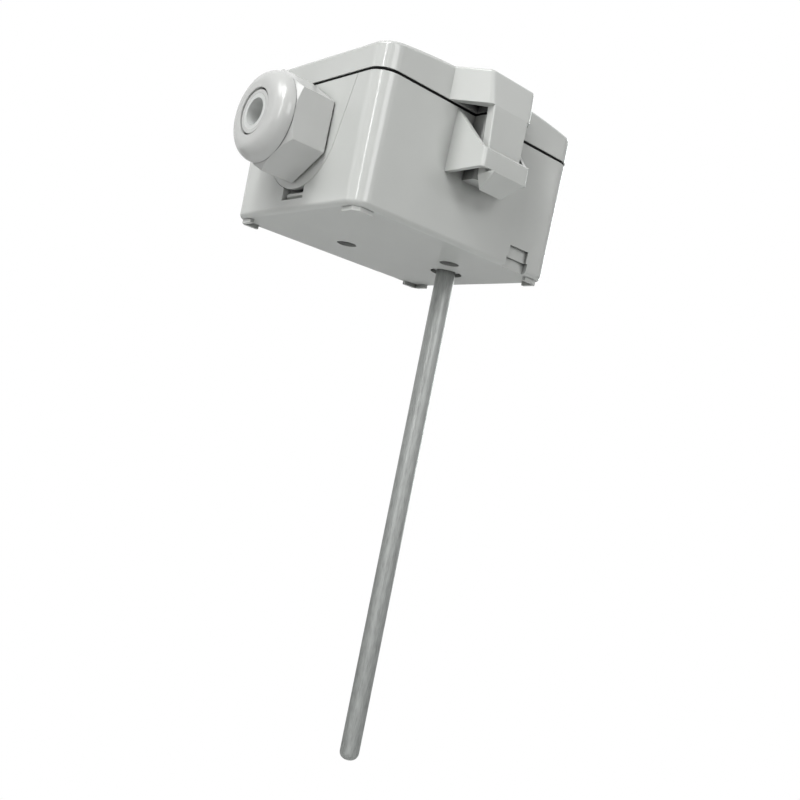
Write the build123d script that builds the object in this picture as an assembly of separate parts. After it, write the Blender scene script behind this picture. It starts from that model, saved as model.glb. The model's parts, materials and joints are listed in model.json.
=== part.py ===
from build123d import *
import math
import os

# Frame: the probe tube's axis is Z, the plane of the housing's underside is Z = 0,
# the cable entry faces -X and the lid's snap strap faces -Y. All sizes are in mm.

# Housing
BASE_LENGTH = 75.6
BASE_WIDTH = 60.2
BASE_HEIGHT = 36.4
PROBE_SETBACK = 14.2
DRAFT_DEG = 1.15
CORNER_R = 5.0
BOTTOM_EDGE_R = 1.5
WALL = 2.2
FLOOR = 2.5
PARTING_GAP = 0.9

# Lid
LID_WALL = 2.0
LID_TOP = 2.0
LID_END_RISE = 8.0
LID_CROWN_RISE = 11.0
LID_EDGE_R = 1.0
LIP_DEPTH = 1.6
LIP_THICKNESS = 1.2
LIP_CLEARANCE = 0.3

# Snap strap, its block on the lid and its loop on the base; drops are below the rim
SNAP_OFFSET = 0.0
BLOCK_ROOT_HALF = 15.2
BLOCK_FRONT_HALF = 7.6
BLOCK_REACH = 10.1
BLOCK_TOP_REACH = 8.7
BLOCK_TOP_RISE = 10.6
BLOCK_CORNER_R = 1.8
BLOCK_EDGE_R = 0.8
BLOCK_WALL = 1.8
STRAP_HALF = 6.8
STRAP_END_HALF = 6.0
STRAP_LEAN = 0.5
STRAP_THICKNESS = 2.8
STRAP_EDGE_R = 0.4
HOOK_REACH = 3.6
HOOK_LIP = 0.4
HOOK_TIP_HALF = 4.2
HOOK_TOP_DROP = 17.9
HOOK_BOTTOM_DROP = 22.2
LOOP_ROOT_HALF = 11.0
LOOP_FRONT_HALF = 8.8
LOOP_REACH = 12.2
LOOP_WALL = 1.2
LOOP_CORNER_R = 1.2
LOOP_LIP = 0.5
LOOP_ROOT_TOP_DROP = 0.2
LOOP_ROOT_BOTTOM_DROP = 18.6
BAND_TOP_DROP = 11.8
BAND_BOTTOM_DROP = 17.3
PAD_HALF = 4.0
PAD_REACH = 4.6
PAD_BOTTOM_DROP = 18.6
PAD_R = 1.0

# Hinge on the far long side
HINGE_RISE = 0.5
HINGE_OFFSET = 3.5
HINGE_BAR_R = 1.5
HINGE_FIT = 0.05
HINGE_HOOK_R = 3.1
HINGE_HOOK_WIDTH = 7.0
HINGE_EAR = 2.4
HINGE_WEB_DROP = 11.0
HINGE_SIDE_GAP = 0.3
HINGE_SPREAD = 19.0
HINGE_MOUTH = 2.7

# Hidden guides and stiffeners
SEAL_INSET = 0.35
RIB_SPREAD = 14.0
RIB_WIDTH = 1.4
BOSS_RIB_REACH = 3.0
BOSS_RIB_DROP = 4.0
RAIL_DROP = 4.0
RAIL_WALL = 1.2

# Underside
FOOT_LEG = 6.0
FOOT_WALL = 1.2
FOOT_HEIGHT = 1.2
FOOT_INSET = 1.6
FIXING_R = 3.0
FIXING_HOLES = ((-8.7, 10.7), (14.8, -10.7))
FIXING_COLLAR_R = 4.8
FIXING_COLLAR_HEIGHT = 2.0
CLIP_UPPER_HALF = 3.9
CLIP_UPPER_Z = 6.6
CLIP_UPPER_DEPTH = 0.8
CLIP_LOWER_HALF = 4.5
CLIP_LOWER_Z = 3.1
CLIP_LOWER_DEPTH = 1.5

# Cable entry plate with its threaded spout
GLAND_Z = 22.2
PLATE_R = 16.0
PLATE_FLARE_DEG = 15.5
PLATE_GAP = 0.15
FLANGE_MARGIN = 1.8
FLANGE_THICKNESS = 1.6
RAIL_CLEARANCE = 0.2
WINDOW_HALF = 5.1
WINDOW_BOTTOM_Z = 3.36
SPOUT_R = 9.85
SPOUT_BORE_R = 7.2
SPOUT_SETBACK = 4.5
FINGER_COUNT = 12
FINGER_LENGTH = 4.0
FINGER_SLOT = 1.0

# Gland cap nut, clamp ring and cable seal
CAP_ACROSS_FLATS = 25.3
CAP_GAP = 0.6
CAP_LENGTH = 16.5
CAP_DOME_LENGTH = 5.9
CAP_MOUTH_R = 6.7
CAP_DOME_R = 12.9
CAP_NOSE_R = 4.5
CAP_NECK = 0.35
CAP_FIT = 0.15
SEAL_BORE_R = 3.9
SEAL_WALL = 1.2
SEAL_INSIDE = 9.0
SEAL_CLEARANCE = 0.3
MOUTH_SETBACK = 0.3
THREAD_PITCH = 1.5

# Probe
TUBE_R = 3.0
TUBE_WALL = 0.5
TUBE_BELOW = 153.3
TUBE_ABOVE = 15.0
TUBE_END_R = 2.4
BEAD_R = 4.3
BEAD_HEIGHT = 1.6
PROBE_RECESS_R = 5.0
PROBE_RECESS_DEPTH = 2.2
PROBE_BOSS_R = 6.5
PROBE_BOSS_TOP = 12.0
PROBE_FIT = 0.05
ORING_R = 0.9
ORING_Z = 7.5
RING_R = 5.6
RING_THICKNESS = 0.5
CHIP = (2.0, 2.3, 5.0)
CHIP_Z = -147.0
POTTING_TOP_Z = -132.0
WIRE_R = 0.55
WIRE_SPACING = 1.8
WIRE_ARCH_R = 4.0
SLEEVE_R = 2.1
SLEEVE_WALL = 0.35

# Circuit board and terminal block
BOARD_SETBACK = 14.9
BOARD = (16.0, 38.0, 1.6)
BOARD_BOTTOM_Z = 8.5
BOARD_SCREW_Y = 15.0
BOARD_SCREW_R = 1.3
BOARD_SCREW_HEAD_R = 2.6
BOARD_SCREW_LENGTH = 7.0
STANDOFF_R = 3.2
BLOCK_SIZE = (8.4, 10.8, 10.0)
POLE_Y = (-2.6, 2.6)
CAGE = (4.4, 3.6, 4.4)
CAGE_CAVITY_GAP = 0.2
CAGE_WINDOW = 2.6
CAGE_TRAVEL = 1.5
TERMINAL_SCREW_R = 1.2
TERMINAL_HEAD_R = 1.75
TERMINAL_HEAD_H = 1.6
CAGE_REST_GAP = 0.6
CONTACT_THICKNESS = 0.8
CONTACT_REACH = 3.4
CONTACT_RISE = 2.9

# Derived places
SLOPE = math.tan(math.radians(DRAFT_DEG))
HOUSING_X = PROBE_SETBACK - BASE_LENGTH / 2
SNAP_X = HOUSING_X + SNAP_OFFSET
LID_Z = BASE_HEIGHT + PARTING_GAP
LID_END_Z = BASE_HEIGHT + LID_END_RISE
LID_CROWN_Z = BASE_HEIGHT + LID_CROWN_RISE
BLOCK_TOP_Z = BASE_HEIGHT + BLOCK_TOP_RISE
HOOK_TOP_Z = BASE_HEIGHT - HOOK_TOP_DROP
HOOK_BOTTOM_Z = BASE_HEIGHT - HOOK_BOTTOM_DROP
LOOP_ROOT_TOP_Z = BASE_HEIGHT - LOOP_ROOT_TOP_DROP
LOOP_ROOT_BOTTOM_Z = BASE_HEIGHT - LOOP_ROOT_BOTTOM_DROP
BAND_TOP_Z = BASE_HEIGHT - BAND_TOP_DROP
BAND_BOTTOM_Z = BASE_HEIGHT - BAND_BOTTOM_DROP
PAD_BOTTOM_Z = BASE_HEIGHT - PAD_BOTTOM_DROP
HINGE_Z = BASE_HEIGHT + HINGE_RISE
BOARD_X = HOUSING_X - BASE_LENGTH / 2 + BOARD_SETBACK
TOP_LENGTH = BASE_LENGTH + 2 * SLOPE * BASE_HEIGHT
TOP_WIDTH = BASE_WIDTH + 2 * SLOPE * BASE_HEIGHT
FRONT_Y = -TOP_WIDTH / 2
BACK_Y = TOP_WIDTH / 2
STRAP_FRONT_Y = FRONT_Y - BLOCK_REACH
HINGE_Y = BACK_Y + HINGE_OFFSET
BOARD_TOP_Z = BOARD_BOTTOM_Z + BOARD[2]
FIXING_POINTS = [(HOUSING_X + x, y) for x, y in FIXING_HOLES]
CAP_HEX_LENGTH = CAP_LENGTH - CAP_DOME_LENGTH
SPOUT_LENGTH = CAP_LENGTH - SPOUT_SETBACK
BEYOND = 2 * TOP_WIDTH


def box(x0, x1, y0, y1, z0, z1):
    return Pos((x0 + x1) / 2, (y0 + y1) / 2, (z0 + z1) / 2) * Box(x1 - x0, y1 - y0, z1 - z0)


def rod(x, y, z0, z1, radius):
    return Pos(x, y, (z0 + z1) / 2) * Cylinder(radius, z1 - z0)


def rod_x(x0, x1, y, z, radius):
    return Pos((x0 + x1) / 2, y, z) * Rot(0, 90, 0) * Cylinder(radius, x1 - x0)


def outline(length, width, radius, z):
    return Plane.XY.offset(z) * (Pos(HOUSING_X, 0) * RectangleRounded(length, width, radius))


def tapered(length, width, radius, z0, z1, slope):
    grow = slope * (z1 - z0)
    lower = outline(length, width, radius, z0)
    upper = outline(length + 2 * grow, width + 2 * grow, radius + grow, z1)
    return loft([lower, upper])


def plan(points, z0, z1):
    face = make_face(Polyline(*points, close=True))
    return extrude(Plane.XY.offset(z0) * face, z1 - z0)


def side_profile(points, x0, x1):
    face = make_face(Polyline(*[(x0, y, z) for y, z in points], close=True))
    return extrude(face, amount=x1 - x0, dir=(1, 0, 0))


def front_profile(points, y0, y1):
    face = make_face(Polyline(*[(x, y0, z) for x, z in points], close=True))
    return extrude(face, amount=y1 - y0, dir=(0, 1, 0))


# Wall face of the cable entry side at a height
def end_wall_x(z):
    return HOUSING_X - BASE_LENGTH / 2 - SLOPE * z


# Outline of the entry plate: a half circle about the gland with two flared sides
def entry_outline(margin, x0, x1, top_z):
    radius = PLATE_R + margin
    flare = math.tan(math.radians(PLATE_FLARE_DEG))
    start = math.radians(-PLATE_FLARE_DEG)
    side_y = radius * math.cos(start)
    side_z = GLAND_Z + radius * math.sin(start)
    top_y = side_y + flare * (top_z - side_z)
    arc = ThreePointArc((x0, -side_y, side_z), (x0, 0, GLAND_Z - radius), (x0, side_y, side_z))
    rest = Polyline((x0, side_y, side_z), (x0, top_y, top_z), (x0, -top_y, top_z), (x0, -side_y, side_z))
    return extrude(make_face(arc + rest), amount=x1 - x0, dir=(1, 0, 0))


# Four-sided plan that narrows from a root line to a front line, about the strap's centre
def splayed(root_half, root_y, front_half, front_y, z0, z1):
    return plan([(SNAP_X - root_half, root_y), (SNAP_X - front_half, front_y),
                 (SNAP_X + front_half, front_y), (SNAP_X + root_half, root_y)], z0, z1)


# Strap loop: a splayed band standing out from the near wall, its flanks running up to the rim
def build_loop():
    root_y = -BASE_WIDTH / 2 + 0.6
    front_y = FRONT_Y - LOOP_REACH
    outer = splayed(LOOP_ROOT_HALF, root_y, LOOP_FRONT_HALF, front_y, 0, LID_CROWN_Z)
    outer = fillet(outer.edges().filter_by(Axis.Z).group_by(Axis.Y)[0], LOOP_CORNER_R)
    inner = splayed(LOOP_ROOT_HALF - LOOP_WALL, root_y + 1, LOOP_FRONT_HALF - LOOP_WALL, front_y + LOOP_WALL,
                    -1, LID_CROWN_Z + 1)
    side = side_profile([(root_y + 1, LOOP_ROOT_TOP_Z), (FRONT_Y, LOOP_ROOT_TOP_Z), (front_y + LOOP_WALL, BAND_TOP_Z),
                         (front_y + LOOP_LIP, BAND_TOP_Z), (front_y - 1, BAND_TOP_Z - LOOP_LIP - 1),
                         (front_y - 1, BAND_BOTTOM_Z), (front_y + LOOP_WALL, BAND_BOTTOM_Z),
                         (root_y + 1, LOOP_ROOT_BOTTOM_Z)], SNAP_X - BEYOND, SNAP_X + BEYOND)
    return (outer - inner) & side


# Guide pad behind the strap, shared by base, seal and lid
def build_pad(z0, z1, inset):
    half = PAD_HALF - inset
    reach = PAD_REACH - inset
    pad = box(SNAP_X - half, SNAP_X + half, FRONT_Y - reach, FRONT_Y + 1.2, z0, z1)
    return fillet(pad.edges().filter_by(Axis.Z).group_by(Axis.Y)[0], PAD_R)


def hinge_centres():
    return [HOUSING_X - HINGE_SPREAD, HOUSING_X + HINGE_SPREAD]


# Two ears with a round bar moulded between them
def build_hinge_ears():
    half = HINGE_HOOK_WIDTH / 2 + HINGE_SIDE_GAP
    wall_y = BACK_Y - 1.0
    parts = []
    for x in hinge_centres():
        for side in (-1, 1):
            x0 = x + side * half
            x1 = x + side * (half + HINGE_EAR)
            lo, hi = min(x0, x1), max(x0, x1)
            web = side_profile([(wall_y, BASE_HEIGHT - 0.2), (HINGE_Y, BASE_HEIGHT - 0.2),
                                (HINGE_Y + 2.9, HINGE_Z - 1.0), (HINGE_Y + 1.6, HINGE_Z - 4.0),
                                (wall_y, HINGE_Z - HINGE_WEB_DROP)], lo, hi)
            parts.append(web + rod_x(lo, hi, HINGE_Y, HINGE_Z, HINGE_HOOK_R - 0.2))
        parts.append(rod_x(x - half - 0.5, x + half + 0.5, HINGE_Y, HINGE_Z, HINGE_BAR_R))
    return parts


# Hooks of the lid that clip over the bars, open at the bottom
def build_hinge_hooks():
    half = HINGE_HOOK_WIDTH / 2
    parts = []
    for x in hinge_centres():
        eye = rod_x(x - half, x + half, HINGE_Y, HINGE_Z, HINGE_HOOK_R)
        arm = box(x - half, x + half, BACK_Y - 1.2, HINGE_Y, LID_Z, HINGE_Z + HINGE_HOOK_R)
        bore = rod_x(x - half - 1, x + half + 1, HINGE_Y, HINGE_Z, HINGE_BAR_R + HINGE_FIT)
        mouth = box(x - half - 1, x + half + 1, HINGE_Y - HINGE_MOUTH / 2, HINGE_Y + HINGE_MOUTH / 2,
                    HINGE_Z - HINGE_HOOK_R - 1, HINGE_Z)
        parts.append(eye + arm - bore - mouth)
    return parts


def build_feet():
    parts = []
    half_l = BASE_LENGTH / 2 - FOOT_INSET
    half_w = BASE_WIDTH / 2 - FOOT_INSET
    for sx in (-1, 1):
        for sy in (-1, 1):
            cx = HOUSING_X + sx * half_l
            cy = sy * half_w
            leg_x = box(min(cx, cx - sx * FOOT_LEG), max(cx, cx - sx * FOOT_LEG),
                        min(cy, cy - sy * FOOT_WALL), max(cy, cy - sy * FOOT_WALL), -FOOT_HEIGHT, 0.5)
            leg_y = box(min(cx, cx - sx * FOOT_WALL), max(cx, cx - sx * FOOT_WALL),
                        min(cy, cy - sy * FOOT_LEG), max(cy, cy - sy * FOOT_LEG), -FOOT_HEIGHT, 0.5)
            foot = leg_x + leg_y
            corner = foot.edges().filter_by(Axis.Z).sort_by_distance((cx, cy, 0))[0]
            parts.append(chamfer(corner, 1.6))
    return parts


def build_base():
    shell = tapered(BASE_LENGTH, BASE_WIDTH, CORNER_R, 0, BASE_HEIGHT, SLOPE)
    shell = fillet(shell.edges().group_by(Axis.Z)[0], BOTTOM_EDGE_R)
    shell += build_pad(PAD_BOTTOM_Z, BASE_HEIGHT, 0)
    shell += build_loop()
    shell += build_hinge_ears()
    shell += build_feet()
    cavity = tapered(BASE_LENGTH - 2 * WALL, BASE_WIDTH - 2 * WALL, CORNER_R - WALL, FLOOR, BASE_HEIGHT, SLOPE)
    cavity += outline_block(TOP_LENGTH - 2 * WALL, TOP_WIDTH - 2 * WALL, CORNER_R - WALL, BASE_HEIGHT - 1, LID_CROWN_Z)
    cavity = fillet(cavity.edges().group_by(Axis.Z)[0], 0.8)
    shell -= cavity
    # Bosses on the floor
    shell += rod(0, 0, 0.5, PROBE_BOSS_TOP, PROBE_BOSS_R)
    for angle in range(0, 360, 90):
        rib = box(PROBE_BOSS_R - 1, PROBE_BOSS_R + BOSS_RIB_REACH, -RIB_WIDTH / 2, RIB_WIDTH / 2,
                  FLOOR - 0.5, PROBE_BOSS_TOP - BOSS_RIB_DROP)
        shell += Rot(0, 0, angle + 45) * rib
    for x, y in FIXING_POINTS:
        shell += rod(x, y, 1, FLOOR + FIXING_COLLAR_HEIGHT, FIXING_COLLAR_R)
    for side in (-1, 1):
        y = side * BOARD_SCREW_Y
        shell += rod(BOARD_X, y, 1, BOARD_BOTTOM_Z, STANDOFF_R)
        for end in (-1, 1):
            lo = min(y, y + side * 6.5)
            hi = max(y, y + side * 6.5)
            shell += box(BOARD_X + end * 2.2 - 0.6, BOARD_X + end * 2.2 + 0.6, lo, hi, 1.5, BOARD_BOTTOM_Z - 2)
    # Guide rails for the entry plate
    rail_x = end_wall_x(GLAND_Z) + WALL + FLANGE_THICKNESS + RAIL_CLEARANCE
    rail_y = PLATE_R + FLANGE_MARGIN + RAIL_CLEARANCE
    for side in (-1, 1):
        lo = min(side * rail_y, side * (rail_y + 1.6))
        hi = max(side * rail_y, side * (rail_y + 1.6))
        shell += box(end_wall_x(0) + 0.8, rail_x + RAIL_WALL, lo, hi, 1.5, GLAND_Z - RAIL_DROP)
        lip_lo = min(side * (rail_y - 2.0), side * (rail_y + 0.5))
        lip_hi = max(side * (rail_y - 2.0), side * (rail_y + 0.5))
        shell += box(rail_x, rail_x + RAIL_WALL, lip_lo, lip_hi, 1.5, GLAND_Z - RAIL_DROP)
    # Openings
    shell -= rod(0, 0, -1, PROBE_RECESS_DEPTH, PROBE_RECESS_R)
    shell -= rod(0, 0, 0, PROBE_BOSS_TOP + 1, TUBE_R + PROBE_FIT)
    shell -= rod(0, 0, ORING_Z - ORING_R, ORING_Z + ORING_R, TUBE_R + 2 * ORING_R)
    for x, y in FIXING_POINTS:
        shell -= rod(x, y, -1, FLOOR + FIXING_COLLAR_HEIGHT + 1, FIXING_R)
    for side in (-1, 1):
        shell -= rod(BOARD_X, side * BOARD_SCREW_Y, 2.0, BOARD_BOTTOM_Z + 1, BOARD_SCREW_R)
    wall_x = end_wall_x(BASE_HEIGHT)
    shell -= entry_outline(0, wall_x - 1, end_wall_x(0) + WALL + 0.6, BASE_HEIGHT + 2)
    shell -= box(wall_x - 1, end_wall_x(0) + WALL + 0.4, -WINDOW_HALF, WINDOW_HALF,
                 WINDOW_BOTTOM_Z, GLAND_Z - PLATE_R + 2)
    for side in (-1, 1):
        face = BASE_WIDTH / 2
        for half, top, depth in ((CLIP_UPPER_HALF, CLIP_UPPER_Z, CLIP_UPPER_DEPTH),
                                 (CLIP_LOWER_HALF, CLIP_LOWER_Z, CLIP_LOWER_DEPTH)):
            lo = min(side * (face - depth), side * (face + 2))
            hi = max(side * (face - depth), side * (face + 2))
            shell -= box(-half, half, lo, hi, -1, top)
    return shell


def outline_block(length, width, radius, z0, z1):
    return extrude(outline(length, width, radius, z0), z1 - z0)


# Crowned body: the plan outline cut by an arch that runs along X
def crowned(length, width, radius, z0, end_z, crown_z):
    half = TOP_LENGTH / 2
    x0, x1 = HOUSING_X - half, HOUSING_X + half
    y = -TOP_WIDTH
    arch = ThreePointArc((x0, y, end_z), (HOUSING_X, y, crown_z), (x1, y, end_z))
    frame = Polyline((x1, y, end_z), (x1, y, z0), (x0, y, z0), (x0, y, end_z))
    body = extrude(make_face(arch + frame), amount=2 * TOP_WIDTH, dir=(0, 1, 0))
    return body & outline_block(length, width, radius, z0, crown_z + 5)


def build_lid():
    radius = CORNER_R + SLOPE * BASE_HEIGHT
    cap = crowned(TOP_LENGTH, TOP_WIDTH, radius, LID_Z, LID_END_Z, LID_CROWN_Z)
    top_edges = cap.edges().filter_by(lambda e: e.center().Z > LID_END_Z - 1.5 and e.length > 0.5)
    top_edges = top_edges.filter_by(lambda e: abs((e @ 1).Z - (e @ 0).Z) < 2.5)
    cap = fillet(top_edges, LID_EDGE_R)
    hollow = crowned(TOP_LENGTH - 2 * LID_WALL, TOP_WIDTH - 2 * LID_WALL, radius - LID_WALL,
                     LID_Z - 1, LID_END_Z - LID_TOP, LID_CROWN_Z - LID_TOP)
    root_y = FRONT_Y + 1.0
    block = splayed(BLOCK_ROOT_HALF, root_y, BLOCK_FRONT_HALF, STRAP_FRONT_Y, LID_Z, BLOCK_TOP_Z)
    block &= side_profile([(root_y, LID_Z), (STRAP_FRONT_Y, LID_Z), (FRONT_Y - BLOCK_TOP_REACH, BLOCK_TOP_Z),
                           (root_y, BLOCK_TOP_Z)], SNAP_X - BEYOND, SNAP_X + BEYOND)
    upright = block.edges().filter_by(lambda e: abs((e @ 1).Z - (e @ 0).Z) > 5 and e.center().Y < FRONT_Y - 5)
    block = fillet(upright, BLOCK_CORNER_R)
    top = block.edges().filter_by(lambda e: e.center().Z > BLOCK_TOP_Z - 0.1 and e.center().Y < root_y - 0.5)
    block = fillet(top, BLOCK_EDGE_R)
    shrink = BLOCK_WALL * 1.15
    pocket = splayed(BLOCK_ROOT_HALF - shrink - 1.2, FRONT_Y - 0.6,
                     BLOCK_FRONT_HALF - shrink, STRAP_FRONT_Y + STRAP_THICKNESS,
                     LID_Z - 1, BLOCK_TOP_Z - BLOCK_WALL)
    lid = cap + (block - pocket)
    lid += build_pad(LID_Z, BLOCK_TOP_Z - 1, 0)
    lid -= hollow
    # Lip that drops inside the base's rim
    outer_l = TOP_LENGTH - 2 * WALL - 2 * LIP_CLEARANCE
    outer_w = TOP_WIDTH - 2 * WALL - 2 * LIP_CLEARANCE
    lip_r = CORNER_R - WALL
    lip_z = LID_Z - PARTING_GAP - LIP_DEPTH
    lip = outline_block(outer_l, outer_w, lip_r, lip_z, LID_Z + 1.5)
    lip += outline_block(TOP_LENGTH - 2 * LID_WALL + 0.4, TOP_WIDTH - 2 * LID_WALL + 0.4, lip_r + 0.4,
                         LID_Z, LID_Z + 1.5)
    lip -= outline_block(outer_l - 2 * LIP_THICKNESS, outer_w - 2 * LIP_THICKNESS, lip_r - 1.0, lip_z - 1, LID_Z + 3)
    gap_half = PLATE_R + FLANGE_MARGIN + 8
    lip -= box(HOUSING_X - TOP_LENGTH / 2, HOUSING_X - TOP_LENGTH / 2 + 8, -gap_half, gap_half, lip_z - 1, LID_Z)
    lid += lip
    # Two stiffening ribs under the crown
    for x in (HOUSING_X - RIB_SPREAD, HOUSING_X + RIB_SPREAD):
        rib = box(x - RIB_WIDTH / 2, x + RIB_WIDTH / 2, -TOP_WIDTH / 2 + 2.5, TOP_WIDTH / 2 - 2.5,
                  LID_Z + 3.5, LID_CROWN_Z)
        lid += rib & crowned(TOP_LENGTH - 3, TOP_WIDTH - 3, radius - 1.5, LID_Z, LID_END_Z - 1, LID_CROWN_Z - 1)
    lid += build_hinge_hooks()
    return lid


# Strap hanging from the block, ending in a wedge-shaped hook under the loop's band
def build_strap():
    y0 = STRAP_FRONT_Y
    y1 = y0 - STRAP_LEAN
    lip_z = HOOK_TOP_Z - HOOK_LIP
    strap = side_profile([(y0 + STRAP_THICKNESS, LID_Z), (y0, LID_Z), (y1, HOOK_TOP_Z), (y1 - HOOK_REACH, HOOK_TOP_Z),
                          (y1 - HOOK_REACH, lip_z), (y1 + STRAP_THICKNESS, HOOK_BOTTOM_Z)],
                         SNAP_X - STRAP_HALF, SNAP_X + STRAP_HALF)
    strap &= front_profile([(SNAP_X - STRAP_HALF, LID_Z), (SNAP_X + STRAP_HALF, LID_Z),
                            (SNAP_X + STRAP_END_HALF, lip_z), (SNAP_X + HOOK_TIP_HALF, HOOK_BOTTOM_Z),
                            (SNAP_X - HOOK_TIP_HALF, HOOK_BOTTOM_Z), (SNAP_X - STRAP_END_HALF, lip_z)],
                           y0 - BEYOND, y0 + BEYOND)
    long_edges = strap.edges().filter_by(lambda e: abs((e @ 1).Z - (e @ 0).Z) > HOOK_TOP_DROP / 2)
    return fillet(long_edges, STRAP_EDGE_R)


def build_seal():
    radius = CORNER_R + SLOPE * BASE_HEIGHT
    z0 = BASE_HEIGHT + 0.3
    outer = outline_block(TOP_LENGTH - 2 * SEAL_INSET, TOP_WIDTH - 2 * SEAL_INSET, radius - SEAL_INSET, z0, LID_Z)
    outer += build_pad(z0, LID_Z, SEAL_INSET)
    inner = outline_block(TOP_LENGTH - 2 * LID_WALL + 0.3, TOP_WIDTH - 2 * LID_WALL + 0.3, radius - LID_WALL,
                          z0 - 1, LID_Z + 1)
    return outer - inner


def build_gland_plate():
    wall = tapered(BASE_LENGTH, BASE_WIDTH, CORNER_R, 0, BASE_HEIGHT, SLOPE)
    inner_x = end_wall_x(GLAND_Z) + WALL
    plate = entry_outline(-PLATE_GAP, end_wall_x(BASE_HEIGHT) - 1, inner_x, BASE_HEIGHT) & wall
    cavity = tapered(BASE_LENGTH - 2 * WALL - 0.1, BASE_WIDTH - 2 * WALL, CORNER_R - WALL, FLOOR, BASE_HEIGHT, SLOPE)
    flange = entry_outline(FLANGE_MARGIN, end_wall_x(BASE_HEIGHT) + WALL, inner_x + FLANGE_THICKNESS,
                           BASE_HEIGHT - 2.4) & cavity
    tongue = box(end_wall_x(BASE_HEIGHT), inner_x + FLANGE_THICKNESS, -WINDOW_HALF + 0.8, WINDOW_HALF - 0.8,
                 WINDOW_BOTTOM_Z + 0.3, GLAND_Z - PLATE_R + 3) & cavity
    catch = side_catch()
    plate = plate + flange + tongue + catch
    tip_x = end_wall_x(GLAND_Z) - SPOUT_LENGTH
    plate += rod_x(tip_x, inner_x + 3, 0, GLAND_Z, SPOUT_R)
    plate -= rod_x(tip_x - 1, inner_x + 4, 0, GLAND_Z, SPOUT_BORE_R)
    around_tip = Cylinder(SPOUT_R + 1, 1.5) - Cone(SPOUT_R - 0.8, SPOUT_R, 1.5)
    plate -= Pos(tip_x + 0.75, 0, GLAND_Z) * Rot(0, 90, 0) * around_tip
    for index in range(FINGER_COUNT // 2):
        slot = box(tip_x - 1, tip_x + FINGER_LENGTH, -SPOUT_R - 1, SPOUT_R + 1, -FINGER_SLOT / 2, FINGER_SLOT / 2)
        plate -= Pos(0, 0, GLAND_Z) * Rot(index * 360 / FINGER_COUNT, 0, 0) * slot
    return plate


# Sloped catch that shows in the window of the wall
def side_catch():
    x0 = end_wall_x(0) + 0.9
    x1 = end_wall_x(0) + WALL + 0.2
    profile = [(x1, WINDOW_BOTTOM_Z + 0.3), (x0, WINDOW_BOTTOM_Z + 1.3), (x0, WINDOW_BOTTOM_Z + 2.0),
               (x1, WINDOW_BOTTOM_Z + 2.3)]
    return front_profile(profile, -WINDOW_HALF + 0.8, WINDOW_HALF - 0.8)


def cap_tip_x():
    return end_wall_x(GLAND_Z) - CAP_GAP - CAP_LENGTH


def build_cap():
    back_x = end_wall_x(GLAND_Z) - CAP_GAP
    flat = CAP_ACROSS_FLATS / 2
    corner = flat / math.cos(math.radians(30))
    hexagon = RegularPolygon(corner, 6, rotation=30)
    back = Plane(origin=(back_x, 0, GLAND_Z), x_dir=(0, 1, 0), z_dir=(-1, 0, 0))
    shaft = extrude(back * hexagon, CAP_LENGTH)
    # Turned envelope of the hexagon: chamfered corners down to a narrow neck before the dome
    shoulder = CAP_HEX_LENGTH
    collar = make_face(Polyline((0, 0), (0, corner + 1), (shoulder - 1.0, corner + 1),
                                (shoulder + 1.3, flat - CAP_NECK), (CAP_LENGTH - CAP_NOSE_R, flat - CAP_NECK),
                                (CAP_LENGTH - CAP_NOSE_R, 0), close=True))
    # Domed nose a little wider than the flats
    k = CAP_NOSE_R * math.sqrt(0.5)
    nose_x = CAP_LENGTH - CAP_NOSE_R
    start = shoulder + 0.9
    front_r = CAP_DOME_R - CAP_NOSE_R
    line = Polyline((start, 0), (start, flat - CAP_NECK), (start + CAP_NECK, CAP_DOME_R), (nose_x, CAP_DOME_R))
    nose = ThreePointArc((nose_x, CAP_DOME_R), (nose_x + k, front_r + k), (CAP_LENGTH, front_r))
    close = Polyline((CAP_LENGTH, front_r), (CAP_LENGTH, 0), (start, 0))
    place = Pos(back_x, 0, GLAND_Z) * Rot(0, 0, 180)
    cap = (shaft & (place * revolve(collar, Axis.X))) + place * revolve(make_face(line + nose + close), Axis.X)
    # Thread bore, inner cone that squeezes the fingers, and the mouth
    bore_r = SPOUT_R + CAP_FIT
    depth = SPOUT_LENGTH - CAP_GAP + 0.6
    inside = make_face(Polyline((-1, 0), (-1, bore_r), (depth, bore_r), (depth + 2.4, SPOUT_BORE_R + 0.6),
                                (CAP_LENGTH - 1.0, CAP_MOUTH_R), (CAP_LENGTH + 1, CAP_MOUTH_R), (CAP_LENGTH + 1, 0),
                                close=True))
    return cap - place * revolve(inside, Axis.X)


# Ring of the seal insert that shows in the mouth of the cap
def build_clamp_ring():
    front = cap_tip_x() + MOUTH_SETBACK
    back = end_wall_x(GLAND_Z) - SPOUT_LENGTH - SEAL_CLEARANCE
    inner_r = SEAL_BORE_R + SEAL_WALL
    profile = make_face(Polyline((front, inner_r), (front, CAP_MOUTH_R - 0.5), (front + 1.7, CAP_MOUTH_R - 0.3),
                                 (back, SPOUT_BORE_R + 0.3), (back, inner_r), close=True))
    return Pos(0, 0, GLAND_Z) * revolve(profile, Axis.X)


def build_cable_seal():
    front = cap_tip_x() + MOUTH_SETBACK
    spout_tip = end_wall_x(GLAND_Z) - SPOUT_LENGTH
    step = spout_tip - SEAL_CLEARANCE
    neck_r = SEAL_BORE_R + SEAL_WALL
    body_r = SPOUT_BORE_R - SEAL_CLEARANCE
    end = spout_tip + SEAL_INSIDE
    profile = make_face(Polyline((front, SEAL_BORE_R), (front, neck_r), (step, neck_r), (spout_tip + 0.2, body_r),
                                 (end, body_r), (end, SEAL_BORE_R), close=True))
    return Pos(0, 0, GLAND_Z) * revolve(profile, Axis.X)


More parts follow.
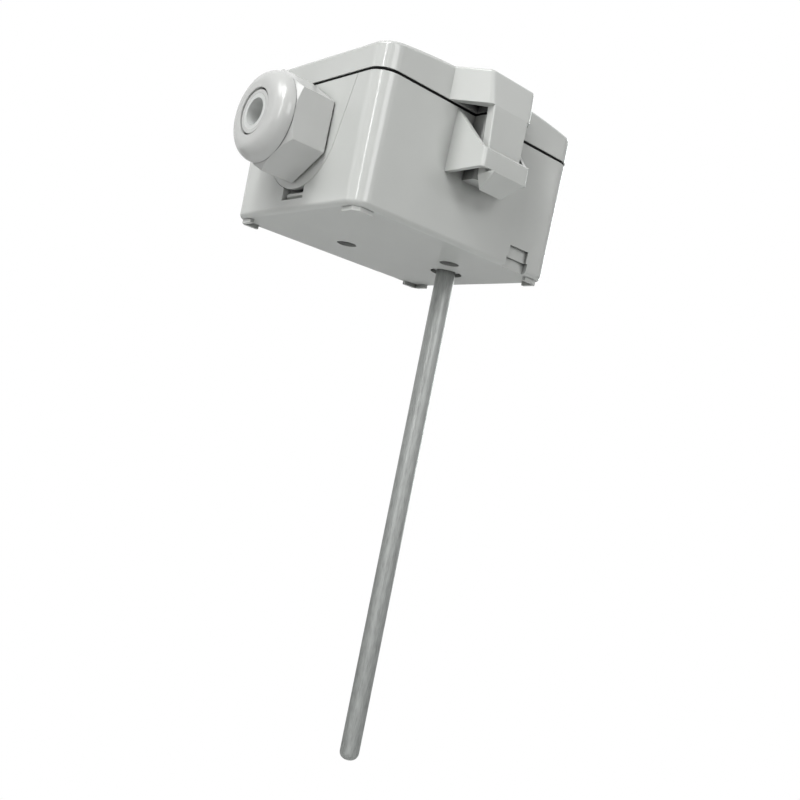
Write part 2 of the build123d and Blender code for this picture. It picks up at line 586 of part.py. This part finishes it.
# Closed tube with a round nose and an upset bead that stops it in the housing's recess
def build_tube():
    bottom = -TUBE_BELOW
    inner_r = TUBE_R - TUBE_WALL
    end_r = TUBE_END_R
    k = math.sqrt(0.5)
    bead_top = PROBE_RECESS_DEPTH
    bead_bottom = bead_top - BEAD_HEIGHT
    crown_r = BEAD_R - BEAD_HEIGHT / 2
    outer_line = Polyline((0, bottom), (TUBE_R - end_r, bottom))
    outer_arc = ThreePointArc((TUBE_R - end_r, bottom),
                              (TUBE_R - end_r + end_r * k, bottom + end_r - end_r * k),
                              (TUBE_R, bottom + end_r))
    below = Polyline((TUBE_R, bottom + end_r), (TUBE_R, bead_bottom), (crown_r, bead_bottom))
    bead = ThreePointArc((crown_r, bead_bottom), (BEAD_R, (bead_bottom + bead_top) / 2), (crown_r, bead_top))
    above = Polyline((crown_r, bead_top), (TUBE_R, bead_top), (TUBE_R, TUBE_ABOVE), (inner_r, TUBE_ABOVE),
                     (inner_r, bottom + end_r))
    small = end_r - TUBE_WALL
    inner_arc = ThreePointArc((inner_r, bottom + end_r),
                              (inner_r - small + small * k, bottom + end_r - small * k),
                              (inner_r - small, bottom + TUBE_WALL))
    close = Polyline((inner_r - small, bottom + TUBE_WALL), (0, bottom + TUBE_WALL), (0, bottom))
    face = make_face(outer_line + outer_arc + below + bead + above + inner_arc + close)
    return revolve(Plane.XZ * face, Axis.Z)


def build_oring():
    return Pos(0, 0, ORING_Z) * Torus(TUBE_R + ORING_R, ORING_R - 0.02)


# Push-on ring with inward teeth that grips the tube above the boss
def build_retaining_ring():
    z0 = PROBE_BOSS_TOP
    ring = rod(0, 0, z0, z0 + RING_THICKNESS, RING_R) - rod(0, 0, z0 - 1, z0 + 2, TUBE_R)
    for index in range(6):
        notch = Rot(0, 0, index * 60) * box(TUBE_R - 0.5, TUBE_R + 1.2, -0.35, 0.35, z0 - 1, z0 + 2)
        ring -= notch
    return ring


def wire_path(side):
    y = side * WIRE_SPACING / 2
    pad_x = BOARD_X + BOARD[0] / 2 - 2.0
    start_z = CHIP_Z + CHIP[2] / 2
    bend_z = TUBE_ABOVE + 2
    r = WIRE_ARCH_R
    k = r * math.sqrt(0.5)
    rise = Line((0, y, start_z), (0, y, bend_z))
    over = ThreePointArc((0, y, bend_z), (k - r, y, bend_z + k), (-r, y, bend_z + r))
    across = Line((-r, y, bend_z + r), (pad_x + r, y, bend_z + r))
    down = ThreePointArc((pad_x + r, y, bend_z + r), (pad_x + r - k, y, bend_z + k), (pad_x, y, bend_z))
    drop = Line((pad_x, y, bend_z), (pad_x, y, BOARD_TOP_Z))
    return rise + over + across + down + drop


def build_wire(side):
    path = wire_path(side)
    start = Plane(origin=path @ 0, z_dir=path % 0)
    return sweep(start * Circle(WIRE_R), path=path)


def build_chip():
    return Pos(0, 0, CHIP_Z) * Box(*CHIP)


def build_potting(chip, wires):
    bottom = -TUBE_BELOW + TUBE_WALL
    fill = rod(0, 0, bottom + 2.0, POTTING_TOP_Z, TUBE_R - TUBE_WALL)
    fill -= chip
    for wire in wires:
        fill -= wire
    return fill


# Sleeve in the mouth of the tube that keeps its edge off the leads
def build_sleeve():
    z0 = TUBE_ABOVE - 8
    tube = rod(0, 0, z0, TUBE_ABOVE + 0.6, SLEEVE_R)
    tube -= rod(0, 0, z0 - 1, TUBE_ABOVE + 2, SLEEVE_R - SLEEVE_WALL)
    collar = rod(0, 0, TUBE_ABOVE, TUBE_ABOVE + 0.6, TUBE_R) - rod(0, 0, TUBE_ABOVE - 1, TUBE_ABOVE + 2, SLEEVE_R)
    return tube + collar


def build_board():
    board = Pos(BOARD_X, 0, (BOARD_BOTTOM_Z + BOARD_TOP_Z) / 2) * Box(*BOARD)
    board = fillet(board.edges().filter_by(Axis.Z), 1.0)
    for side in (-1, 1):
        board -= rod(BOARD_X, side * BOARD_SCREW_Y, BOARD_BOTTOM_Z - 1, BOARD_TOP_Z + 1, BOARD_SCREW_R + 0.2)
    for y in POLE_Y:
        board -= rod(BOARD_X + 3.0, y, BOARD_BOTTOM_Z - 1, BOARD_TOP_Z + 1, 0.65)
    return board


def build_board_screw(side):
    y = side * BOARD_SCREW_Y
    head = Pos(BOARD_X, y, BOARD_TOP_Z + 0.9) * Cylinder(BOARD_SCREW_HEAD_R, 1.8)
    head = fillet(head.edges().group_by(Axis.Z)[-1], 0.8)
    shank = rod(BOARD_X, y, BOARD_TOP_Z - BOARD_SCREW_LENGTH, BOARD_TOP_Z, BOARD_SCREW_R)
    screw = head + shank
    for angle in (0, 90):
        screw -= Pos(BOARD_X, y, BOARD_TOP_Z + 1.5) * Rot(0, 0, angle) * Box(3.0, 0.6, 1.4)
    return screw


# Two-pole block with rising cages; wires enter from -X, the screws face up
def build_terminal_body():
    z0 = BOARD_TOP_Z
    lx, ly, lz = BLOCK_SIZE
    body = box(BOARD_X - lx / 2, BOARD_X + lx / 2, -ly / 2, ly / 2, z0, z0 + lz)
    upper = body.edges().filter_by(Axis.Y).group_by(Axis.Z)[-1]
    body = chamfer(upper, 1.2)
    gap = CAGE_CAVITY_GAP
    for y in POLE_Y:
        body -= box(BOARD_X - CAGE[0] / 2 - gap, BOARD_X + CAGE[0] / 2 + gap,
                    y - CAGE[1] / 2 - gap, y + CAGE[1] / 2 + gap, z0 + 0.5, z0 + 6.9)
        body -= box(BOARD_X - lx, BOARD_X, y - CAGE_WINDOW / 2, y + CAGE_WINDOW / 2, z0 + 1.2, z0 + 3.4)
        body -= rod(BOARD_X, y, z0 + 6.5, z0 + lz + 1, TERMINAL_HEAD_R + 0.1)
        body -= box(BOARD_X, BOARD_X + 3.6, y - 1.15, y + 1.15, z0 + 2.85, z0 + 3.85)
        body -= box(BOARD_X + 2.6, BOARD_X + 3.6, y - 0.6, y + 0.6, z0 - 1, z0 + 3.0)
    return body


def build_cage(y):
    z0 = BOARD_TOP_Z + CAGE_REST_GAP
    cage = box(BOARD_X - CAGE[0] / 2, BOARD_X + CAGE[0] / 2, y - CAGE[1] / 2, y + CAGE[1] / 2, z0, z0 + CAGE[2])
    cage = fillet(cage.edges().filter_by(Axis.X), 0.4)
    cage -= box(BOARD_X - CAGE[0], BOARD_X + CAGE[0], y - CAGE_WINDOW / 2, y + CAGE_WINDOW / 2,
                z0 + 0.6, z0 + 0.6 + CAGE_WINDOW)
    cage -= rod(BOARD_X, y, z0 + 2, z0 + 6, TERMINAL_SCREW_R + 0.08)
    return cage


# Contact strip under the screw, with its solder pin through the board
def build_contact(y):
    z0 = BOARD_TOP_Z + CONTACT_RISE
    end_x = BOARD_X + CONTACT_REACH
    strip = box(BOARD_X - CAGE[0] / 2 + 0.2, end_x, y - 1.1, y + 1.1, z0, z0 + CONTACT_THICKNESS)
    pin = box(end_x - 0.6, end_x, y - 0.4, y + 0.4, BOARD_BOTTOM_Z - 1.6, z0 + 0.2)
    return strip + pin


def build_terminal_screw(y):
    tip_z = BOARD_TOP_Z + CONTACT_RISE + CONTACT_THICKNESS + 0.03
    head_z = BOARD_TOP_Z + 6.95
    screw = rod(BOARD_X, y, tip_z, head_z + 0.1, TERMINAL_SCREW_R)
    head = rod(BOARD_X, y, head_z, head_z + TERMINAL_HEAD_H, TERMINAL_HEAD_R)
    head = chamfer(head.edges().group_by(Axis.Z)[-1], 0.25)
    slot = Pos(BOARD_X, y, head_z + TERMINAL_HEAD_H) * Box(4, 0.5, 1.4)
    return screw + head - slot


def main():
    os.makedirs("parts", exist_ok=True)
    chip = build_chip()
    wires = [build_wire(side) for side in (-1, 1)]
    shapes = {
        "enclosure_base": build_base(),
        "lid": build_lid(),
        "lid_snap_strap": build_strap(),
        "lid_seal": build_seal(),
        "gland_plate": build_gland_plate(),
        "gland_cap_nut": build_cap(),
        "gland_clamp_ring": build_clamp_ring(),
        "gland_cable_seal": build_cable_seal(),
        "probe_tube": build_tube(),
        "probe_oring": build_oring(),
        "probe_retaining_ring": build_retaining_ring(),
        "sensing_element": chip,
        "element_potting": build_potting(chip, wires),
        "lead_sleeve": build_sleeve(),
        "lead_wire_1": wires[0],
        "lead_wire_2": wires[1],
        "circuit_board": build_board(),
        "board_screw_1": build_board_screw(-1),
        "board_screw_2": build_board_screw(1),
        "terminal_body": build_terminal_body(),
        "terminal_cage_1": build_cage(POLE_Y[0]),
        "terminal_cage_2": build_cage(POLE_Y[1]),
        "terminal_contact_1": build_contact(POLE_Y[0]),
        "terminal_contact_2": build_contact(POLE_Y[1]),
        "terminal_screw_1": build_terminal_screw(POLE_Y[0]),
        "terminal_screw_2": build_terminal_screw(POLE_Y[1]),
    }
    for name, shape in shapes.items():
        export_step(shape, "parts/" + name + ".step")
        print(name, "solids", len(shape.solids()), "volume", round(shape.volume, 1))


main()
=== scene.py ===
import json
import math
import bpy
from mathutils import Matrix, Vector

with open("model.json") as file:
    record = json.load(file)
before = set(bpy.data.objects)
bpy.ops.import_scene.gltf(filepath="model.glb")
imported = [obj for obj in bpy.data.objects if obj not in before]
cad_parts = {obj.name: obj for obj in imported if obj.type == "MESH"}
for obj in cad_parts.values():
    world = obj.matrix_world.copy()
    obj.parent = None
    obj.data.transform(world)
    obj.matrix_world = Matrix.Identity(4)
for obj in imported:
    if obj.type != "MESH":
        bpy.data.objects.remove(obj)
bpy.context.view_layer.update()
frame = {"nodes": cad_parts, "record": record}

print("stage: frame loaded")

# The photograph's camera: place in metres and its right, up and forward directions
camera = {
    "place": (-0.213558, -0.244634, -0.069425),
    "right": (0.739902, -0.642830, 0.198282),
    "up": (-0.204542, 0.065817, 0.976642),
    "forward": (0.640865, 0.763176, 0.082788),
    "lensMm": 46.777,
    "sensorMm": 36.0,
}

# The studio in metres: a pale floor that turns white between two distances from its middle
studio = {
    "floorHalf": 6.0,
    "floorZ": -0.42,
    "whiteFrom": 0.45,
    "whiteTo": 0.7,
    "lampDistance": 1.2,
    "lampTarget": (-0.02, 0, 0.01),
}

# Lamps by azimuth and elevation in degrees, width and height in metres, watts and tint
neutral = (1.0, 1.0, 1.0)
lamps = {
    "keySoft": (206, 50, (0.3, 0.6), 7.4, neutral),
    "leftSoft": (178, 45, (0.5, 0.5), 5.2, neutral),
    "frontSoft": (262, 20, (0.5, 0.5), 3.2, neutral),
    "rightSoft": (300, 40, (0.5, 0.5), 1.3, neutral),
    "cornerStrip": (207, 20, (0.08, 0.9), 3.6, neutral),
    "cornerFill": (154, 15, (0.08, 0.8), 0.5, neutral),
    "farStrip": (20, 12, (0.22, 0.9), 3.8, (0.92, 1.0, 0.97)),
}

# Painted shade in crevices: its reach in millimetres, its samples, the occlusion range it fades over and the
# dark grey it fades to
paintedShade = {"reachMm": 9.0, "samples": 8, "shutBelow": 0.2, "openAbove": 0.85, "shade": "#2c2d2c"}
edgeSamples = 6


def addCamera():
    data = bpy.data.cameras.new("photoCamera")
    data.lens = camera["lensMm"]
    data.sensor_width = camera["sensorMm"]
    data.clip_start = 0.01
    data.clip_end = 20.0
    obj = bpy.data.objects.new("photoCamera", data)
    bpy.context.scene.collection.objects.link(obj)
    right, up, forward = (Vector(camera[k]) for k in ("right", "up", "forward"))
    turn = Matrix((right, up, -forward)).transposed().to_4x4()
    obj.matrix_world = Matrix.Translation(camera["place"]) @ turn
    bpy.context.scene.camera = obj


def linear(hexText):
    parts = [int(hexText[i:i + 2], 16) / 255 for i in (1, 3, 5)]
    return tuple(c / 12.92 if c <= 0.04045 else ((c + 0.055) / 1.055) ** 2.4 for c in parts) + (1.0,)


def addNode(tree, kind, values=None, **attributes):
    node = tree.nodes.new(kind)
    for name, value in attributes.items():
        setattr(node, name, value)
    for key, value in (values or {}).items():
        if isinstance(value, bpy.types.NodeSocket):
            tree.links.new(value, node.inputs[key])
        else:
            node.inputs[key].default_value = value
    return node


def calculate(tree, operation, first, second):
    return addNode(tree, "ShaderNodeMath", {0: first, 1: second}, operation=operation).outputs[0]


# Turns a value's stretch from start to end into the stretch from low to high
def remap(tree, value, start, end, low=0.0, high=1.0):
    stretch = {"Value": value, "From Min": start, "From Max": end, "To Min": low, "To Max": high}
    return addNode(tree, "ShaderNodeMapRange", stretch).outputs["Result"]


def newMaterial(name):
    material = bpy.data.materials.new(name)
    material.use_nodes = True
    tree = material.node_tree
    tree.nodes.clear()
    coords = addNode(tree, "ShaderNodeTexCoord").outputs["Object"]
    return material, tree, coords


# Noise whose cells are sizeMm across, in millimetres of the object
def grain(tree, coords, sizeMm, detail=3.0, stretch=(1, 1, 1)):
    scale = tuple(1000.0 / sizeMm / s for s in stretch)
    mapped = addNode(tree, "ShaderNodeMapping", {"Vector": coords, "Scale": scale}).outputs["Vector"]
    noise = addNode(tree, "ShaderNodeTexNoise", {"Vector": mapped, "Scale": 1.0, "Detail": detail})
    return noise.outputs["Fac"]


# The middle part of a noise, where nearly all of it lies, from low to high
def between(tree, fac, low, high):
    return remap(tree, fac, 0.3, 0.7, low, high)


def mixColors(tree, fac, low, high):
    mix = addNode(tree, "ShaderNodeMix", data_type="RGBA")
    tree.links.new(fac, mix.inputs[0])
    for index, value in ((6, low), (7, high)):
        if isinstance(value, bpy.types.NodeSocket):
            tree.links.new(value, mix.inputs[index])
        else:
            mix.inputs[index].default_value = value
    return mix.outputs[2]


# Painted shade: grooves, slots and pockets within one moulding have their base colour darkened towards a
# dark grey, in place of the room's light that they lose
def paintCreviceShade(tree, color):
    shade = addNode(tree, "ShaderNodeAmbientOcclusion", {"Distance": paintedShade["reachMm"] / 1000.0},
                    samples=paintedShade["samples"], only_local=True)
    lit = remap(tree, shade.outputs["AO"], paintedShade["shutBelow"], paintedShade["openAbove"])
    return mixColors(tree, lit, linear(paintedShade["shade"]), color)


# The grain stands bumpMm high, and a sharp edge can look rounded by edgeMm
def finishMaterial(material, tree, color, roughness, height, bumpMm, edgeMm=0.0, **settings):
    values = {"Base Color": color, "Roughness": roughness}
    values.update({k.replace("_", " "): v for k, v in settings.items()})
    bump = addNode(tree, "ShaderNodeBump", {"Height": height, "Strength": 1.0, "Distance": bumpMm / 1000.0})
    if edgeMm:
        edge = addNode(tree, "ShaderNodeBevel", {"Radius": edgeMm / 1000.0}, samples=edgeSamples)
        tree.links.new(edge.outputs["Normal"], bump.inputs["Normal"])
    values["Normal"] = bump.outputs["Normal"]
    shader = addNode(tree, "ShaderNodeBsdfPrincipled", values)
    addNode(tree, "ShaderNodeOutputMaterial", {"Surface": shader.outputs["BSDF"]})
    return material


# Light grey ABS from a polished mould, with faint changes in tone and gloss, and painted shade darkening its
# crevices
def housingPlastic():
    material, tree, coords = newMaterial("light grey ABS from a polished mould")
    fine = grain(tree, coords, 0.35)
    broad = grain(tree, coords, 18.0, 2.0)
    color = paintCreviceShade(tree, mixColors(tree, broad, linear("#bdbfbc"), linear("#c1c3c0")))
    return finishMaterial(material, tree, color, between(tree, fine, 0.13, 0.17), fine, 0.0002)


# Polished polyamide of the cap nut, with faint flow marks, and painted shade darkening its crevices
def glandPlastic():
    material, tree, coords = newMaterial("polished light grey polyamide")
    fine = grain(tree, coords, 0.9)
    broad = grain(tree, coords, 9.0, 2.0)
    color = paintCreviceShade(tree, mixColors(tree, broad, linear("#b7b8b6"), linear("#bcbdbb")))
    return finishMaterial(material, tree, color, between(tree, fine, 0.17, 0.22), broad, 0.0005, 0.35)


# Dull moulded rubber
def rubber(name, dark, light):
    material, tree, coords = newMaterial(name)
    fine = grain(tree, coords, 0.4)
    color = mixColors(tree, fine, linear(dark), linear(light))
    rough = between(tree, fine, 0.6, 0.75)
    return finishMaterial(material, tree, color, rough, fine, 0.01, Specular_IOR_Level=0.1)


# Stainless tube ground along its length, with fine scratches, dull blotches and a few faint rings
def stainlessTube():
    material, tree, coords = newMaterial("drawn and ground stainless steel")
    scratches = grain(tree, coords, 0.22, 4.0, (1, 1, 14))
    blotches = grain(tree, coords, 1.6, 4.0, (1, 1, 3))
    rings = grain(tree, coords, 1.0, 2.0, (60, 60, 1.1))
    dull = mixColors(tree, between(tree, blotches, 0.0, 1.0), linear("#838583"), linear("#9b9d9b"))
    ground = mixColors(tree, between(tree, scratches, 0.0, 0.8), dull, linear("#aaadab"))
    color = mixColors(tree, remap(tree, rings, 0.7, 0.74, 0.0, 0.45), ground, linear("#5c5e5d"))
    rough = between(tree, scratches, 0.4, 0.54)
    return finishMaterial(material, tree, color, rough, scratches, 0.004, Metallic=1.0)


# Plated and bare metals of the small parts
def smallMetal(name, dark, light, low, high):
    material, tree, coords = newMaterial(name)
    fine = grain(tree, coords, 0.25, 4.0)
    color = mixColors(tree, fine, linear(dark), linear(light))
    return finishMaterial(material, tree, color, between(tree, fine, low, high), fine, 0.003, Metallic=1.0)


# Plastics, ceramic and compound that only show inside
def innerPlastic(name, dark, light, low, high, sizeMm):
    material, tree, coords = newMaterial(name)
    fine = grain(tree, coords, sizeMm)
    color = mixColors(tree, fine, linear(dark), linear(light))
    return finishMaterial(material, tree, color, between(tree, fine, low, high), fine, 0.006)


materials = {
    "housing_plastic": housingPlastic(),
    "gland_plastic": glandPlastic(),
    "black_rubber": rubber("moulded black EPDM rubber", "#080808", "#101010"),
    "grey_rubber": rubber("moulded light grey silicone rubber", "#c3c5c3", "#cdcfcd"),
    "stainless_tube": stainlessTube(),
    "spring_steel": smallMetal("tempered spring steel strip", "#5b5c5e", "#77787a", 0.3, 0.45),
    "element_ceramic": innerPlastic("fired alumina", "#e3e2dd", "#f0efea", 0.35, 0.5, 0.3),
    "potting_compound": innerPlastic("cured casting compound", "#1f1d1b", "#2b2826", 0.25, 0.45, 0.8),
    "sleeve_plastic": innerPlastic("extruded silicone sleeve", "#dcdad0", "#e9e7df", 0.45, 0.6, 0.5),
    "lead_insulation": innerPlastic("extruded lead insulation", "#d5d2c8", "#e6e3da", 0.3, 0.42, 0.6),
    "board_laminate": innerPlastic("solder mask on glass laminate", "#0c4a26", "#125c31", 0.25, 0.38, 0.7),
    "zinc_steel": smallMetal("zinc plated steel", "#9fa3a8", "#c3c6c9", 0.28, 0.42),
    "terminal_plastic": innerPlastic("moulded green polyamide", "#26663a", "#2f7546", 0.4, 0.52, 0.35),
    "nickel_brass": smallMetal("nickel plated brass", "#b5b1a4", "#cdc9be", 0.2, 0.34),
    "tinned_copper": smallMetal("tinned copper strip", "#b4b5b4", "#cfd0cf", 0.3, 0.45),
}

slotOf = {p["node"]: p["material_slot"] for p in frame["record"]["subparts"]}
for name, obj in frame["nodes"].items():
    obj.data.materials.clear()
    obj.data.materials.append(materials[slotOf[name]])
print("stage: materials on", len(slotOf), "pieces")


# Where a ray sees plain white in place of the surroundings' light, with the share of it that reflections see
def seenDirectly(tree, glossShare):
    path = addNode(tree, "ShaderNodeLightPath").outputs
    seen = calculate(tree, "MAXIMUM", path["Is Camera Ray"], path["Is Transmission Ray"])
    mirrored = calculate(tree, "MULTIPLY", path["Is Glossy Ray"], glossShare)
    return calculate(tree, "MAXIMUM", seen, mirrored)


# Pale floor well below the hanging probe, which keeps its shadow near the middle and turns white far out
def addFloor():
    mesh = bpy.data.meshes.new("studioFloor")
    half, z = studio["floorHalf"], studio["floorZ"]
    corners = [(-half, -half, z), (half, -half, z), (half, half, z), (-half, half, z)]
    mesh.from_pydata(corners, [], [(0, 1, 2, 3)])
    floor = bpy.data.objects.new("studioFloor", mesh)
    bpy.context.scene.collection.objects.link(floor)
    material, tree, coords = newMaterial("pale studio floor")
    radius = addNode(tree, "ShaderNodeVectorMath", {0: coords}, operation="LENGTH").outputs["Value"]
    far = remap(tree, radius, studio["whiteFrom"], studio["whiteTo"])
    fac = calculate(tree, "MULTIPLY", seenDirectly(tree, 0.15), far)
    matt = addNode(tree, "ShaderNodeBsdfPrincipled", {"Base Color": (0.85, 0.85, 0.85, 1), "Roughness": 0.9})
    glow = addNode(tree, "ShaderNodeEmission", {"Color": (1, 1, 1, 1), "Strength": 1.0})
    mixed = addNode(tree, "ShaderNodeMixShader", {0: fac, 1: matt.outputs[0], 2: glow.outputs[0]})
    addNode(tree, "ShaderNodeOutputMaterial", {"Surface": mixed.outputs[0]})
    mesh.materials.append(material)


# Soft rectangular lamp that faces the housing
def addLight(name, azimuth, elevation, sizeM, watts, tint):
    target = Vector(studio["lampTarget"])
    az, el = math.radians(azimuth), math.radians(elevation)
    outwards = Vector((math.cos(el) * math.cos(az), math.cos(el) * math.sin(az), math.sin(el)))
    place = target + studio["lampDistance"] * outwards
    data = bpy.data.lights.new(name, "AREA")
    data.shape = "RECTANGLE"
    data.size, data.size_y = sizeM
    data.energy = watts
    data.color = tint
    obj = bpy.data.objects.new(name, data)
    bpy.context.scene.collection.objects.link(obj)
    obj.location = place
    obj.rotation_euler = (target - place).to_track_quat("-Z", "Y").to_euler()


# Faint even light, seen as plain white by the camera and in reflections
def addWorld():
    world = bpy.data.worlds.new("studioWorld")
    world.use_nodes = True
    tree = world.node_tree
    tree.nodes.clear()
    soft = addNode(tree, "ShaderNodeBackground", {"Color": (1, 1, 1, 1), "Strength": 0.1})
    white = addNode(tree, "ShaderNodeBackground", {"Color": (1, 1, 1, 1), "Strength": 1.0})
    fac = seenDirectly(tree, 1.0)
    mixed = addNode(tree, "ShaderNodeMixShader", {0: fac, 1: soft.outputs[0], 2: white.outputs[0]})
    addNode(tree, "ShaderNodeOutputWorld", {"Surface": mixed.outputs[0]})
    bpy.context.scene.world = world


addFloor()
addWorld()
for name, settings in lamps.items():
    addLight(name, *settings)
addCamera()
bpy.context.scene.view_settings.view_transform = "Standard"
print("stage: light, floor and camera ready")
